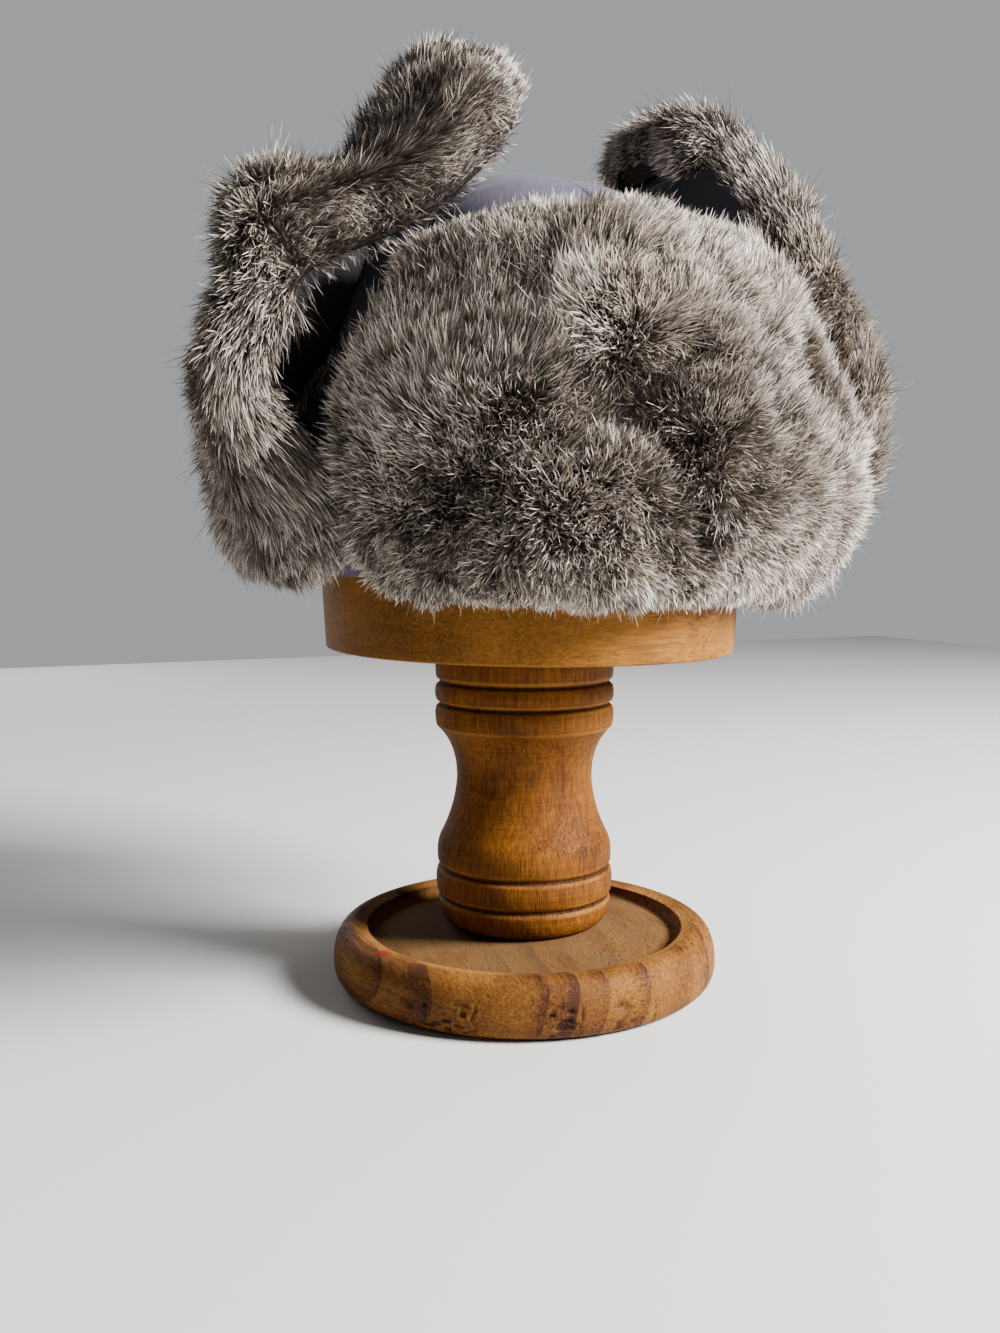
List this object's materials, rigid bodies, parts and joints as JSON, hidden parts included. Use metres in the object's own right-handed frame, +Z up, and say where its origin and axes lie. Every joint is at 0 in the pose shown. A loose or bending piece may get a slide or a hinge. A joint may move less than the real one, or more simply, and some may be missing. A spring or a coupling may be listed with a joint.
{
  "type": "ushanka on a hat stand",
  "caption": "Rabbit-fur ushanka with a cloth crown, front flap turned up and ear flaps standing loose, on a turned wooden hat stand with an oval block and a dished base.",
  "frame": {"origin": "middle of the flat underside of the stand's base", "axes": "+Z up the stand's post to the crown, -Y the way the hat faces, +X to the wearer's left"},
  "size_m": [0.2974, 0.2561, 0.3729],
  "materials": {
    "base_wood": "worn oiled wood, dark grain bands",
    "post_wood": "polished honey-brown turned wood",
    "block_wood": "smooth honey wood with a worn edge",
    "crown_cloth": "soft purple-grey woven cloth",
    "flap_cloth": "dark purple-grey woven cloth",
    "rabbit_fur": "grey-brown rabbit fur with pale tips"
  },
  "bodies": {
    "root": {"stand_base": "base_wood", "stand_post": "post_wood", "stand_block": "block_wood", "crown": "crown_cloth", "front_flap": "rabbit_fur", "back_flap": "rabbit_fur", "left_ear_shell": "flap_cloth", "left_ear_fur": "rabbit_fur", "right_ear_shell": "flap_cloth", "right_ear_fur": "rabbit_fur"}
  },
  "joints": []
}
